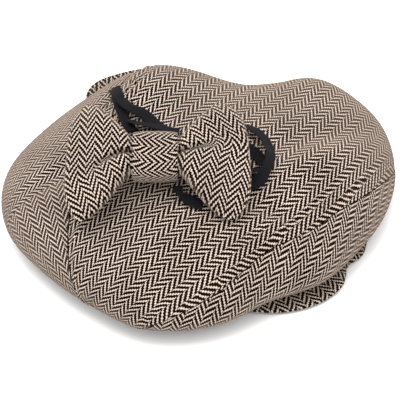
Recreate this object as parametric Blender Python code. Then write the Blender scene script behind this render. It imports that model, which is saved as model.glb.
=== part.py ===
"""A soft tweed deerstalker lying on its rim, with a tweed bow and black tapes on the crown.

The crown is four sewn panels of cloth: a large top, a back, a left and a front one. They roll
under at a low, wide rim and run in to the head band. A peak lies in front, a second one is turned up behind,
and the ear flaps lie flat beneath the crown. The hat's front is -Y, and it rests on z = 0. Left and
right are as seen from the front, with right at +X.
"""

import math

import bpy
import numpy as np

# Cloth and clearances, in metres.
CLOTH = 0.002
STIFF_CLOTH = 0.003
TAPE_CLOTH = 0.0011
GAP = 0.0004
# Colours as red, green and blue, with a roughness.
TWEED = ((0.22, 0.17, 0.14), 0.9)
BLACK_TAPE = ((0.015, 0.015, 0.017), 0.7)
SHARPEST_SMOOTH_EDGE = math.radians(50)
# How far to each side, in metres, radians or t, a slope or a normal is read.
CLOSE_BY = 0.002

# The crown's middle is the centre of all the outlines below. The whole hat is moved by this much,
# so that the middle of its own length and width stands over the origin.
CROWN_MIDDLE = np.array([-0.01364, -0.01854, 0])

# The head band, an oval sewn to the crown's turned-under edge.
BAND_HALF_WIDTH = 0.080
BAND_HALF_LENGTH = 0.094
BAND_CENTRE = (0.012, 0.016)
BAND_HEIGHT = 0.018
BAND_CLOTH = 0.0024

# The peaks and the ear flaps are crescents sewn round the band. Turn is the direction of their
# middle and spread reaches to each end, in degrees. Heights are their undersides' above the
# surface, in equal steps from the band over the depth. A wave is a fuller or slacker place of an
# edge: its place and width in degrees, and how far it goes in metres. The depth falls off with a
# power of the way to the end, down to a share of itself.
CRESCENT_COLUMNS = 25
CRESCENT_POWER = 5
CRESCENT_END = 0.15
FRONT_PEAK = {
    "turn": -82,
    "spread": 52,
    "depth": 0.041,
    "heights": (0.0040, 0.0036, 0.0030, 0.0020, 0.0010),
    "waves": ((-4, 12, 0.004), (12, 5, -0.006), (-30, 10, -0.006)),
}
REAR_PEAK = {
    "turn": 82,
    "spread": 26,
    "depth": 0.050,
    "heights": (0.0020, 0.0024, 0.0036, 0.0088, 0.0220, 0.0350),
    "waves": (),
}
RIGHT_FLAP = {
    "turn": 3,
    "spread": 27,
    "depth": 0.038,
    "heights": (0.0015, 0.0010, 0.0006),
    "waves": (),
}
LEFT_FLAP = {**RIGHT_FLAP, "turn": 177}

# The crown. Its rim's radius in plan is read every 20 degrees, anticlockwise from +X.
# Flatness is the power of the dome's profile: 1.7 slopes like a cone, 2.3 is flatter on top.
CROWN_TOP = 0.083
RIM_HEIGHT = 0.022
RIM_ROLL = 0.014
FLATNESS_MEAN = 1.85
FLATNESS_SWING = 0.15
FLATTEST_SIDE = math.radians(70)
RIM_RADIUS = np.array(
    [
        0.164,  # 0, the right side
        0.157,  # 20
        0.139,  # 40
        0.134,  # 60
        0.139,  # 80, the back
        0.136,  # 100
        0.139,  # 120
        0.146,  # 140
        0.143,  # 160
        0.135,  # 180, the left side
        0.134,  # 200
        0.139,  # 220
        0.131,  # 240
        0.117,  # 260, the front
        0.122,  # 280
        0.125,  # 300
        0.136,  # 320
        0.151,  # 340
    ]
)

# Along a line from the crown's middle to the band, t runs from 0 to 1. It passes the rim's widest
# place and the end of the roll under it here.
RIM_AT = 0.72
ROLL_AT = 0.86

# Humps (+) and dents (-) of the slack cloth: x, y, direction in degrees, half length, half width,
# height. They fade out at the rim with a power of the share of the rim's radius.
FOLD_FADE = 6
FOLDS = (
    (0.005, 0.082, 170, 0.060, 0.040, 0.018),  # the hump behind the bow
    (0.095, 0.067, 120, 0.045, 0.030, -0.020),  # the valley right of it
    (0.124, 0.030, 150, 0.045, 0.030, 0.015),  # the right hump
    (0.080, -0.058, 5, 0.062, 0.014, 0.004),  # the ridge along the front seam
    (0.080, -0.036, 2, 0.060, 0.012, -0.003),  # the trough behind the ridge
    (0.005, -0.082, -41, 0.026, 0.008, -0.003),  # the soft crease below the bow
    (-0.105, 0.038, 160, 0.035, 0.010, -0.003),  # the trough along the left panel's upper seam
)

# The panel seams are arcs in the flattened crown, where the band's edge is the unit circle.
# Direction of the arc's middle in degrees, its distance from the centre, radius.
FRONT_SEAM = (-78, 0.46, 2.0)
BACK_SEAM = (128, 0.265, 13.0)
SEAM_GAP = 0.004
SEAM_DIP = 0.002
SEAM_DIP_WIDTH = 0.035
SEAM_FADE = 0.15
# Where the top panel's rings of facets lie, as shares of the way from its middle to its edge.
TOP_RINGS = np.array([0, 0.1, 0.2, 0.3, 0.4, 0.5, 0.58, 0.66, 0.72, 0.755, 0.79, 0.825, 0.86, 0.93, 1])
# The side panels' rows of facets, and the t that the top edge of their narrow ends stays above.
# Each panel reaches from one direction to another, and is drawn in towards a third, in degrees, by
# a share of the way, which leaves it clear of its neighbours.
SIDE_ROWS = 13
NARROW_END = 0.99
FRONT_PANEL = (210, 354, 282, 0.005)
BACK_PANEL = (54, 162, 129, 0.005)
LEFT_PANEL = (162, 204, 165, 0.010)

# Directions of the facets' edges round the crown and the band in degrees, the same on both sides
# of a seam, and closer where the back seam runs under the rim.
DIRECTIONS = np.sort([*range(0, 360, 6), 51, 57, 195, 201])

# The bow lies on the crown, turned and tilted. In its own frame u runs along it to the right, v up
# its face and n out of its face. A lobe's root lies in the knot. From there to its end its half
# height widens with a power of the way out, and its half depth swells soon after the knot.
BOW_CENTRE = np.array([-0.0519, -0.0224, 0.0945])
BOW_TURN = math.radians(-34)
BOW_TILT = math.radians(30)
BOW_DROOP = 0.006
ROOT_START = 0.0015
ROOT_END = 0.0165
ROOT_HALF_HEIGHT = 0.0133
ROOT_HALF_DEPTH = 0.0086
LOBE_END = 0.050
LOBE_HALF_HEIGHT = 0.043
LOBE_HALF_DEPTH = 0.0125
LOBE_SLANT = 0.002
LOBE_BACK_SHARE = 0.5
LOBE_ROWS = 11
LOBE_COLUMNS = 13
WIDENING = 1.1
PUFF = 0.55
BULGE_POWER = 4
# How far a lobe closes at its edges, and the powers that round its end and its sides.
LOBE_CLOSED = 0.985
END_POWER = 6
SIDE_POWER = 4
CREASE_DEPTH = 0.005
CREASE_WIDTH = 0.13
# The knot is a ring with rounded corners, drawn in by a share of its size at both mouths, with a
# power of the way to them.
KNOT_HALF_LENGTH = 0.0150
KNOT_HALF_HEIGHT = 0.0168
KNOT_HALF_DEPTH = 0.0139
KNOT_MIDDLE = -0.0014
KNOT_ROUNDNESS = 0.7
KNOT_DRAWN_IN = 0.06
BELLY_POWER = 3
KNOT_RINGS = 5
KNOT_SIDES = 30
# Side, bulge of the end fold, v of the middle, place of the crease at the knot and at the end.
LOBES = {
    "bow_left": (-1, 0.011, -0.002, 0.05, -0.32),
    "bow_right": (1, 0.014, -0.001, 0.06, 0.25),
}

# The tapes lie on the crown round the bow. Each row is x, y and the lift of the tape's middle over
# the crown, in millimetres, and how far its right-hand edge is turned up, in degrees.
TAPE_WIDTH = 0.0092
TAPE_STEPS = 2
TAPE_COLUMNS = 3
MILLIMETRE = 0.001
DEGREE = math.pi / 180
TAPES = {
    "tape_end": (
        (-25, 77, 0.9, 0),
        (-29, 65, 3.0, 25),
        (-34, 54, 3.6, 32),
        (-37, 45, 3.6, 32),
        (-40, 35, 3.6, 30),
        (-41, 25, 3.0, 20),
    ),
    "tape_fold": (
        (-31, 57, 5.4, 25),
        (-31, 49, 5.2, 20),
        (-29, 43, 4.4, 8),
        (-26, 38, 3.2, 2),
        (-24, 31, 1.6, 0),
        (-24, 25, 1.0, 0),
        (-23, 18, 0.9, 0),
    ),
    "tape_cross": (
        (-37, 35, 4.0, 35),
        (-35, 29, 4.3, 32),
        (-32, 24, 4.8, 27),
        (-29, 19, 5.0, 22),
        (-25, 13, 4.6, 16),
        (-21, 7, 3.6, 8),
        (-16, 3, 2.8, 4),
    ),
    "tape_loop": (
        (24, -10, 3.4, 22),
        (26, -16, 4.0, 19),
        (30, -23, 4.8, 16),
        (31, -28, 5.2, 14),
        (31, -35, 5.8, 16),
        (28, -43, 6.4, 26),
        (24, -51, 7.0, 42),
        (18, -57, 7.2, 48),
        (11, -62, 6.2, 42),
        (6, -64, 4.6, 28),
        (0, -63, 2.8, 14),
        (-5, -61, 1.7, 5),
        (-10, -59, 1.2, 0),
    ),
    "tape_inner": (
        (14, -29, 1.9, -12),
        (18, -37, 2.1, -12),
        (19, -43, 1.8, -4),
        (19, -48, 1.3, 0),
        (18, -52, 1.3, 0),
    ),
    "tape_back": (
        (11, -57, 3.1, -30),
        (8, -56, 3.5, -34),
        (3, -54, 3.6, -35),
        (-3, -50, 3.5, -34),
    ),
    "tape_low": (
        (-47, -39, 1.7, 8),
        (-48, -43, 3.5, 40),
        (-49, -46, 3.8, 44),
        (-47, -50, 2.6, 17),
        (-45, -54, 1.9, 8),
        (-43, -57, 1.6, 4),
        (-39, -61, 1.3, 0),
    ),
}


def material(name, colour, roughness):
    new = bpy.data.materials.new(name)
    new.use_nodes = True
    shader = new.node_tree.nodes["Principled BSDF"]
    shader.inputs["Base Color"].default_value = (*colour, 1)
    shader.inputs["Roughness"].default_value = roughness
    return new


def tweed(name):
    return material(name + "_tweed", *TWEED)


def black_tape(name):
    return material(name + "_cloth", *BLACK_TAPE)


def curve_between(a, b, c, d, f):
    """The smooth curve from b to c at a share f, with a and d as the points on either side."""
    bend = 2 * a - 5 * b + 4 * c - d
    turn = 3 * b - a - 3 * c + d
    return 0.5 * (2 * b + (c - a) * f + bend * f**2 + turn * f**3)


def rim_radius(angle):
    """The rim's radius at an angle: a smooth curve through the table's rows, closed on itself."""
    place = np.mod(angle / (2 * math.pi), 1) * len(RIM_RADIUS)
    row = np.floor(place).astype(int)
    near = [RIM_RADIUS[(row + step) % len(RIM_RADIUS)] for step in (-1, 0, 1, 2)]
    return curve_between(*near, place - row)


def band_radius(angle, extra):
    """The head band's outer radius about its own centre, with something added all round."""
    a = BAND_HALF_WIDTH + extra
    b = BAND_HALF_LENGTH + extra
    return a * b / np.hypot(b * np.cos(angle), a * np.sin(angle))


def band_line(angle, reach, z):
    """Points at a distance from the head band's centre."""
    x = BAND_CENTRE[0] + reach * np.cos(angle)
    y = BAND_CENTRE[1] + reach * np.sin(angle)
    return np.stack(np.broadcast_arrays(x, y, z), axis=-1)


def folds(x, y):
    """The sum of the crown's humps and dents, each a stretched bell."""
    total = np.zeros_like(x)
    for middle_x, middle_y, direction, half_length, half_width, height in FOLDS:
        c = math.cos(math.radians(direction))
        s = math.sin(math.radians(direction))
        along = ((x - middle_x) * c + (y - middle_y) * s) / half_length
        across = ((y - middle_y) * c - (x - middle_x) * s) / half_width
        total += height * np.exp(-(along**2) - across**2)
    return total


def dome_height(share, angle):
    """The crown's height at a share of the rim's radius, without its humps and dents."""
    flatness = FLATNESS_MEAN + FLATNESS_SWING * np.cos(angle - FLATTEST_SIDE)
    return RIM_HEIGHT + (CROWN_TOP - RIM_HEIGHT) * np.sqrt(np.clip(1 - share**flatness, 0, 1))


def crown_height(x, y):
    """The crown's height over a point of the plan."""
    angle = np.arctan2(y, x)
    share = np.clip(np.hypot(x, y) / rim_radius(angle), 0, 1)
    return dome_height(share, angle) + folds(x, y) * (1 - share**FOLD_FADE)


def seam(angle, arc):
    """The t of a seam at an angle: where the ray from the centre meets the seam's arc, or 1 on the
    side of the crown that the seam isn't on."""
    direction, distance, radius = arc
    away = angle - math.radians(direction)
    centre = distance - radius
    half_chord = np.sqrt(np.clip(radius**2 - (centre * np.sin(away)) ** 2, 0, None))
    return np.where(np.cos(away) > 0, np.clip(centre * np.cos(away) + half_chord, 0, 1), 1.0)


def seam_dip(angle, t):
    """How far the cloth dips towards a seam, fading out where the seam runs under the rim."""
    total = 0
    for arc in (FRONT_SEAM, BACK_SEAM):
        line = seam(angle, arc)
        strength = np.clip((ROLL_AT - line) / SEAM_FADE, 0, 1)
        total = total + SEAM_DIP * strength * np.exp(-(((t - line) / SEAM_DIP_WIDTH) ** 2))
    return total


def crown(angle, t):
    """A point of the crown's outer face: over the dome, round the roll, then in to the band."""
    share = np.sin(np.clip(t / RIM_AT, 0, 1) * math.pi / 2)
    turn = np.clip((t - RIM_AT) / (ROLL_AT - RIM_AT), 0, 1) * math.pi / 2
    inward = np.clip((t - ROLL_AT) / (1 - ROLL_AT), 0, 1)
    reach = rim_radius(angle) * share - RIM_ROLL * (1 - np.cos(turn))
    x = reach * np.cos(angle)
    y = reach * np.sin(angle)
    slack = folds(x, y) * (1 - share**FOLD_FADE) - seam_dip(angle, t)
    rolled = np.stack([x, y, dome_height(share, angle) - RIM_ROLL * np.sin(turn) + slack], axis=-1)
    hem = band_line(angle, band_radius(angle, GAP), RIM_HEIGHT - RIM_ROLL)
    return rolled + (hem - rolled) * inward[..., None]


def square_to(along, across):
    """Unit vectors square to two directions."""
    normal = np.cross(along, across)
    return normal / np.maximum(np.linalg.norm(normal, axis=-1, keepdims=True), 1e-12)


def crown_normals(angle, t):
    """The crown's normals, from the points a little way to each side in t and in angle."""
    down = crown(angle, t + CLOSE_BY) - crown(angle, t - CLOSE_BY)
    around = crown(angle + CLOSE_BY, t) - crown(angle - CLOSE_BY, t)
    return square_to(down, around)


def sheet_normals(grid):
    """The normals of a sheet given as rows and columns of points."""
    return square_to(np.gradient(grid, axis=0), np.gradient(grid, axis=1))


def solid(name, outer, inner, surface, wrap=False, pole=False):
    """A closed body between two grids of points, walled along their edges. Wrap closes the columns
    into a ring, and pole draws the first row together into one point."""
    rows, columns = outer.shape[:2]
    points = np.concatenate([outer.reshape(-1, 3), inner.reshape(-1, 3)]) + CROWN_MIDDLE
    a = np.arange(rows * columns).reshape(rows, columns)
    if pole:
        a[0] = a[0, 0]
    b = a + rows * columns
    steps = [(j, (j + 1) % columns) for j in range(columns if wrap else columns - 1)]
    faces = []
    for i in range(rows - 1):
        for j, k in steps:
            faces.append([a[i, j], a[i + 1, j], a[i + 1, k], a[i, k]])
            faces.append([b[i, k], b[i + 1, k], b[i + 1, j], b[i, j]])
        if not wrap:
            faces.append([a[i + 1, 0], a[i, 0], b[i, 0], b[i + 1, 0]])
            faces.append([a[i, -1], a[i + 1, -1], b[i + 1, -1], b[i, -1]])
    for j, k in steps:
        faces.append([a[-1, k], a[-1, j], b[-1, j], b[-1, k]])
        if not pole:
            faces.append([a[0, j], a[0, k], b[0, k], b[0, j]])
    faces = [list(dict.fromkeys(int(corner) for corner in face)) for face in faces]
    used = sorted({corner for face in faces for corner in face})
    renumbered = {corner: place for place, corner in enumerate(used)}
    mesh = bpy.data.meshes.new(name)
    mesh.from_pydata(points[used].tolist(), [], [[renumbered[c] for c in face] for face in faces])
    mesh.shade_smooth()
    mesh.set_sharp_from_angle(angle=SHARPEST_SMOOTH_EDGE)
    mesh.materials.append(surface)
    made = bpy.data.objects.new(name, mesh)
    bpy.context.scene.collection.objects.link(made)
    return made


def crown_panel(name, angle, t, wrap=False, pole=False):
    """A sewn panel over a grid of angles and t, with its thickness inwards."""
    angle = np.broadcast_to(angle, t.shape)
    outer = crown(angle, t)
    facing = crown_normals(angle, t)
    if pole:
        facing[0] = facing[1].mean(axis=0) / np.linalg.norm(facing[1].mean(axis=0))
    solid(name, outer, outer - CLOTH * facing, tweed(name), wrap, pole)


def crown_top():
    """The large panel: a disc whose edge is the seams, and between them the band."""
    angle = np.radians(DIRECTIONS)
    edge = np.minimum(seam(angle, FRONT_SEAM), seam(angle, BACK_SEAM))
    crown_panel("crown_top", angle, TOP_RINGS[:, None] * edge, wrap=True, pole=True)


def crown_side(name, panel, arc):
    """A panel between its seam and the band, a little way clear of the top panel's edge."""
    first, last, towards, share = panel
    angle = np.radians(DIRECTIONS[(DIRECTIONS >= first) & (DIRECTIONS <= last)])
    line = np.clip(seam(angle, arc) + SEAM_GAP, 0, NARROW_END)
    drawn_in = angle + share * (math.radians(towards) - angle)
    crown_panel(name, drawn_in, line + (1 - line) * np.linspace(0, 1, SIDE_ROWS)[:, None])


def head_band():
    angle = np.radians(DIRECTIONS)
    z = np.array([BAND_HEIGHT, 0])[:, None]
    outer = band_line(angle, band_radius(angle, 0), z)
    inner = band_line(angle, band_radius(angle, -BAND_CLOTH), z)
    solid("head_band", outer, inner, tweed("head_band"), wrap=True)


def crescent(name, turn, spread, depth, heights, waves):
    """A peak or an ear flap: a sheet from the band to a curved, perhaps wavy, edge."""
    aside = np.linspace(-spread, spread, CRESCENT_COLUMNS)
    angle = np.radians(turn + aside)
    edge = depth * np.clip(1 - np.abs(aside / spread) ** CRESCENT_POWER, CRESCENT_END, 1)
    for place, width, height in waves:
        edge = edge + height * np.exp(-(((aside - place) / width) ** 2))
    share = np.linspace(0, 1, len(heights))[:, None]
    height = np.interp(edge * share, np.linspace(0, depth, len(heights)), heights)
    under = band_line(angle, band_radius(angle, GAP) + edge * share, height)
    solid(name, under + STIFF_CLOTH * sheet_normals(under), under, tweed(name))


def bow_place(u, v, n):
    """Points of the bow's own frame in the hat's."""
    along = np.array([math.cos(BOW_TURN), math.sin(BOW_TURN), 0])
    away = np.array([-math.sin(BOW_TURN), math.cos(BOW_TURN), 0])
    upright = np.array([0, 0, 1])
    rise = away * math.cos(BOW_TILT) + upright * math.sin(BOW_TILT)
    face = upright * math.cos(BOW_TILT) - away * math.sin(BOW_TILT)
    return BOW_CENTRE + u[..., None] * along + v[..., None] * rise + n[..., None] * face


def bow_lobe(name, side, bulge, middle, crease_at_knot, crease_at_end):
    """One lobe: a folded loop of cloth, deep in the middle, that narrows to its root in the knot."""
    way, w = np.meshgrid(np.linspace(0, 1, LOBE_ROWS), np.linspace(1, -1, LOBE_COLUMNS), indexing="ij")
    end = LOBE_END - LOBE_SLANT * w + bulge * (1 - w**BULGE_POWER)
    u = ROOT_END + way * (end - ROOT_END)
    u = np.concatenate([np.full_like(u[:1], ROOT_START), u])
    w, end = (np.concatenate([grid[:1], grid]) for grid in (w, end))
    s = (u - ROOT_START) / (end - ROOT_START)
    out = np.clip((u - ROOT_END) / (LOBE_END - ROOT_END), 0, 1)
    widening = np.sin(math.pi / 2 * out**WIDENING)
    swelling = np.sin(math.pi * out**PUFF)
    rounding = np.sqrt((1 - LOBE_CLOSED * s**END_POWER) * (1 - LOBE_CLOSED * w**SIDE_POWER))
    half_height = ROOT_HALF_HEIGHT + (LOBE_HALF_HEIGHT - ROOT_HALF_HEIGHT) * widening
    half_depth = (ROOT_HALF_DEPTH + (LOBE_HALF_DEPTH - ROOT_HALF_DEPTH) * swelling) * rounding
    crease_at = crease_at_knot + (crease_at_end - crease_at_knot) * out
    crease = CREASE_DEPTH * (1 - out) * np.exp(-(((w - crease_at) / CREASE_WIDTH) ** 2))
    v = middle * out + half_height * w
    droop = -BOW_DROOP * out**2
    front = bow_place(side * u, v, droop + half_depth - crease)
    back = bow_place(side * u, v, droop - LOBE_BACK_SHARE * half_depth)
    if side > 0:
        front, back = back, front
    solid(name, front, back, tweed(name))


def knot_side(extent, direction):
    """A side of the knot's soft-cornered section, from its half size and a cosine or a sine."""
    return extent * np.sign(direction) * np.abs(direction) ** KNOT_ROUNDNESS


def bow_knot():
    """The band of cloth round the lobes' roots."""
    turn = -np.linspace(0, 2 * math.pi, KNOT_SIDES + 1)[:-1]
    u = np.linspace(-KNOT_HALF_LENGTH, KNOT_HALF_LENGTH, KNOT_RINGS)[:, None]
    belly = 1 - KNOT_DRAWN_IN * np.abs(u / KNOT_HALF_LENGTH) ** BELLY_POWER
    walls = []
    for inset in (0, CLOTH):
        v = knot_side(KNOT_HALF_HEIGHT * belly - inset, np.cos(turn))
        n = knot_side(KNOT_HALF_DEPTH * belly - inset, np.sin(turn))
        walls.append(bow_place(np.broadcast_to(u, v.shape), v, n + KNOT_MIDDLE))
    solid("bow_knot", *walls, tweed("bow_knot"), wrap=True)


def smooth_line(points, steps):
    """A smooth curve through points, with some steps in each stretch."""
    before = 2 * points[:1] - points[1:2]
    after = 2 * points[-1:] - points[-2:-1]
    ends = np.concatenate([before, points, after])
    line = []
    for i in range(len(points) - 1):
        for f in np.arange(steps) / steps:
            line.append(curve_between(*ends[i : i + 4], f))
    return np.array([*line, points[-1]])


def crown_facing(x, y):
    """Vectors square to the crown, from its height a little way to each side."""
    slope_x = (crown_height(x + CLOSE_BY, y) - crown_height(x - CLOSE_BY, y)) / (2 * CLOSE_BY)
    slope_y = (crown_height(x, y + CLOSE_BY) - crown_height(x, y - CLOSE_BY)) / (2 * CLOSE_BY)
    return np.stack([-slope_x, -slope_y, np.ones_like(x)], axis=-1)


def tape_strip(name, route):
    """A flat woven tape laid along its route over the crown, and turned about the route."""
    x, y, lift, turned = smooth_line(np.array(route, float), TAPE_STEPS).T
    x, y, lift = MILLIMETRE * x, MILLIMETRE * y, MILLIMETRE * lift
    turned = (DEGREE * turned)[:, None]
    middle = np.stack([x, y, crown_height(x, y) + lift], axis=-1)
    ahead = np.gradient(middle, axis=0)
    across = square_to(ahead, crown_facing(x, y))
    upright = square_to(across, ahead)
    across = across * np.cos(turned) + upright * np.sin(turned)
    half = np.linspace(-TAPE_WIDTH / 2, TAPE_WIDTH / 2, TAPE_COLUMNS)[:, None, None]
    strip = middle + half * across
    facing = sheet_normals(strip)
    top = strip + facing * TAPE_CLOTH / 2
    solid(name, top, strip - facing * TAPE_CLOTH / 2, black_tape(name))


def main():
    for old in list(bpy.data.objects):
        bpy.data.objects.remove(old)
    crown_top()
    crown_side("crown_front", FRONT_PANEL, FRONT_SEAM)
    crown_side("crown_back", BACK_PANEL, BACK_SEAM)
    crown_side("crown_left", LEFT_PANEL, BACK_SEAM)
    head_band()
    crescent("front_peak", **FRONT_PEAK)
    crescent("rear_peak", **REAR_PEAK)
    crescent("ear_flap_right", **RIGHT_FLAP)
    crescent("ear_flap_left", **LEFT_FLAP)
    for name, shape in LOBES.items():
        bow_lobe(name, *shape)
    bow_knot()
    for name, route in TAPES.items():
        tape_strip(name, route)


main()
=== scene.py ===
"""A soft tweed deerstalker lying on its rim, with a tweed bow and black tapes on its crown."""

import math

import bpy
import numpy as np
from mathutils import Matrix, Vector


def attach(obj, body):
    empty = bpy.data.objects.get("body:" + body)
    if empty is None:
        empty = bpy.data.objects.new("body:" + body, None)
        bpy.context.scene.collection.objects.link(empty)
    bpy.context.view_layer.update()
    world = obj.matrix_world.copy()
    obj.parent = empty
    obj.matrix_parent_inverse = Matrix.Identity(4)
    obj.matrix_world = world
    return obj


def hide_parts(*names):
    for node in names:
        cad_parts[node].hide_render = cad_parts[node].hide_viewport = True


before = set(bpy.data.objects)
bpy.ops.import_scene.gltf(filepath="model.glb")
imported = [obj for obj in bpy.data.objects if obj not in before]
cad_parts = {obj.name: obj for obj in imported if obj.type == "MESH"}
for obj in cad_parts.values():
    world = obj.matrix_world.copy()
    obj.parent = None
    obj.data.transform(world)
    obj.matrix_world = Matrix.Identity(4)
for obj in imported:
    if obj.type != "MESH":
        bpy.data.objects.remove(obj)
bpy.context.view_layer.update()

# ---------------------------------------------------------------------------------------------
# The view: a camera some way off, above the hat's front left, as for a plain product picture.
# ---------------------------------------------------------------------------------------------
# The crown's middle stands a little to the left and front of the hat's own middle.
CROWN_MIDDLE = np.array([-0.01364, -0.01854, 0.0])
VIEW_AZIMUTH = math.radians(-34)
VIEW_ELEVATION = math.radians(38)
VIEW_DISTANCE = 1.0
VIEW_HEIGHT = 0.031
VIEW_SLIDE_RIGHT = -0.0005
VIEW_SLIDE_UP = -0.0089
LENS = 123.3

view_back = Vector(
    (
        math.sin(VIEW_AZIMUTH) * math.cos(VIEW_ELEVATION),
        -math.cos(VIEW_AZIMUTH) * math.cos(VIEW_ELEVATION),
        math.sin(VIEW_ELEVATION),
    )
)
view_right = Vector((math.cos(VIEW_AZIMUTH), math.sin(VIEW_AZIMUTH), 0))
view_up = view_back.cross(view_right)
looked_at = Vector(CROWN_MIDDLE) + Vector((0, 0, VIEW_HEIGHT))
looked_at += VIEW_SLIDE_RIGHT * view_right + VIEW_SLIDE_UP * view_up
camera = bpy.data.objects.new("camera", bpy.data.cameras.new("camera"))
camera.data.lens = LENS
camera.data.clip_start = 0.05
camera.data.clip_end = 20
camera.location = looked_at + VIEW_DISTANCE * view_back
camera.rotation_euler = view_back.to_track_quat("Z", "Y").to_euler()
bpy.context.scene.collection.objects.link(camera)
bpy.context.scene.camera = camera
bpy.context.scene.view_settings.view_transform = "Standard"

# ---------------------------------------------------------------------------------------------
# The crown's top panel: one large piece of herringbone tweed, cut as a disc with two sides taken
# off for the seams. It is slack, so it lies in humps and dents, and it turns under at the rim
# where it is sewn in to the head band. Inside it has a thin black lining.
# ---------------------------------------------------------------------------------------------
CLOTH = 0.002
GAP = 0.0004
BAND_HALF_WIDTH = 0.080
BAND_HALF_LENGTH = 0.094
BAND_CENTRE = (0.012, 0.016)
CROWN_TOP = 0.083
RIM_HEIGHT = 0.022
RIM_ROLL = 0.014
FLATNESS_MEAN = 1.85
FLATNESS_SWING = 0.15
FLATTEST_SIDE = math.radians(70)
# The rim's radius in plan, every 20 degrees anticlockwise from +X.
RIM_RADIUS = np.array(
    [
        0.164,  # 0, the right side
        0.157,  # 20
        0.139,  # 40
        0.134,  # 60
        0.139,  # 80, the back
        0.136,  # 100
        0.139,  # 120
        0.146,  # 140
        0.143,  # 160
        0.135,  # 180, the left side
        0.134,  # 200
        0.139,  # 220
        0.131,  # 240
        0.117,  # 260, the front
        0.122,  # 280
        0.125,  # 300
        0.136,  # 320
        0.151,  # 340
    ]
)
# Along a line from the crown's middle to the band, t runs from 0 to 1. It passes the rim's widest
# place and the end of the roll under it here.
RIM_AT = 0.72
ROLL_AT = 0.86
# Humps (+) and dents (-): x, y, direction in degrees, half length, half width, height.
FOLDS = (
    (0.005, 0.082, 170, 0.060, 0.040, 0.018),  # the hump behind the bow
    (0.095, 0.067, 120, 0.045, 0.030, -0.020),  # the valley right of it
    (0.124, 0.030, 150, 0.045, 0.030, 0.015),  # the right hump
    (0.080, -0.058, 5, 0.062, 0.014, 0.004),  # the ridge along the front seam
    (0.080, -0.036, 2, 0.060, 0.012, -0.003),  # the trough behind the ridge
    (0.005, -0.082, -41, 0.026, 0.007, -0.0045),  # the soft crease below the bow
    (-0.105, 0.038, 160, 0.035, 0.010, -0.003),  # the trough along the left panel's upper seam
)
# The seams are arcs in the flattened crown, where the band's edge is the unit circle:
# direction of the arc's middle in degrees, its distance from the centre, radius. A ray whose
# cosine with that direction is under the last value runs past the seam.
FRONT_SEAM = (-78, 0.46, 2.0)
BACK_SEAM = (128, 0.265, 13.0)
PAST_SEAM = 0.05
# A seam's dip and its puckers fade out over the last stretch of t before the roll.
SEAM_DIP = 0.0022
SEAM_DIP_WIDTH = 0.030
SEAM_FADE = 0.15
# A pucker is the sum of two waves, given in radians to a step, so that no two are alike. They
# stand in a wider bell than the dip's, a little way in on the top panel.
SEAM_PUCKER = 0.0009
PUCKER_STEP = math.radians(3.1)
PUCKER_WAVES = (6.28, 3.7)
PUCKER_INWARD = 0.03
PUCKER_WIDENING = 1.6
# The slackness comes from a square lattice of random heights. It lies low by a share of its
# depth, so that it rises less into the tapes, and dies out with the folds towards the rim, as 1
# less this power of the share of the rim's radius.
SLACK = 0.0010
SLACK_STEP = 0.034
SLACK_SAG = 0.6
SLACK_SEED = 5
LATTICE = 64
FOLD_FADE = 6
SHARP_EDGE = math.radians(50)


def cubic(a, b, c, d, f):
    """A smooth curve's value at a fraction f of the way from b to c, with a before and d after."""
    bend = 2 * a - 5 * b + 4 * c - d
    turn = 3 * b - a - 3 * c + d
    return 0.5 * (2 * b + (c - a) * f + bend * f**2 + turn * f**3)


def rim_radius(angle):
    """The rim's radius: a smooth cubic curve through the table's rows, closed on itself."""
    place = np.mod(angle / (2 * math.pi), 1) * len(RIM_RADIUS)
    row = np.floor(place).astype(int)
    rows = (RIM_RADIUS[(row + step) % len(RIM_RADIUS)] for step in (-1, 0, 1, 2))
    return cubic(*rows, place - row)


def band_radius(angle, extra):
    """The head band's outer radius, an ellipse's polar form, with something added all round."""
    a = BAND_HALF_WIDTH + extra
    b = BAND_HALF_LENGTH + extra
    return a * b / np.hypot(b * np.cos(angle), a * np.sin(angle))


def band_line(angle, reach, z):
    """Points at a distance from the head band's centre."""
    x = BAND_CENTRE[0] + reach * np.cos(angle)
    y = BAND_CENTRE[1] + reach * np.sin(angle)
    return np.stack(np.broadcast_arrays(x, y, z), axis=-1)


def folds(x, y):
    """The sum of the humps and dents, each a stretched bell: height * exp(-along^2 - across^2)."""
    total = np.zeros_like(x)
    for middle_x, middle_y, direction, half_length, half_width, height in FOLDS:
        c = math.cos(math.radians(direction))
        s = math.sin(math.radians(direction))
        along = ((x - middle_x) * c + (y - middle_y) * s) / half_length
        across = ((y - middle_y) * c - (x - middle_x) * s) / half_width
        total += height * np.exp(-(along**2) - across**2)
    return total


def soft_noise(x, y, step, seed):
    """Smooth noise from -1 to 1: random values on a square lattice, joined by smoothsteps."""
    values = np.random.default_rng(seed).uniform(-1, 1, (LATTICE, LATTICE))
    column = x / step + LATTICE / 2
    row = y / step + LATTICE / 2
    i = np.floor(column).astype(int)
    j = np.floor(row).astype(int)
    fx = column - i
    fy = row - j
    fx = fx * fx * (3 - 2 * fx)
    fy = fy * fy * (3 - 2 * fy)
    this_i, next_i = i % LATTICE, (i + 1) % LATTICE
    this_j, next_j = j % LATTICE, (j + 1) % LATTICE
    near = values[this_i, this_j] * (1 - fx) + values[next_i, this_j] * fx
    far = values[this_i, next_j] * (1 - fx) + values[next_i, next_j] * fx
    return near * (1 - fy) + far * fy


def seam(angle, arc):
    """The t of a seam at an angle: where the ray from the centre meets the seam's arc."""
    direction, distance, radius = arc
    away = angle - math.radians(direction)
    centre = distance - radius
    half_chord = np.sqrt(np.clip(radius**2 - (centre * np.sin(away)) ** 2, 0, None))
    met = np.clip(centre * np.cos(away) + half_chord, 0, 1)
    return np.where(np.cos(away) > PAST_SEAM, met, 1.0)


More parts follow.
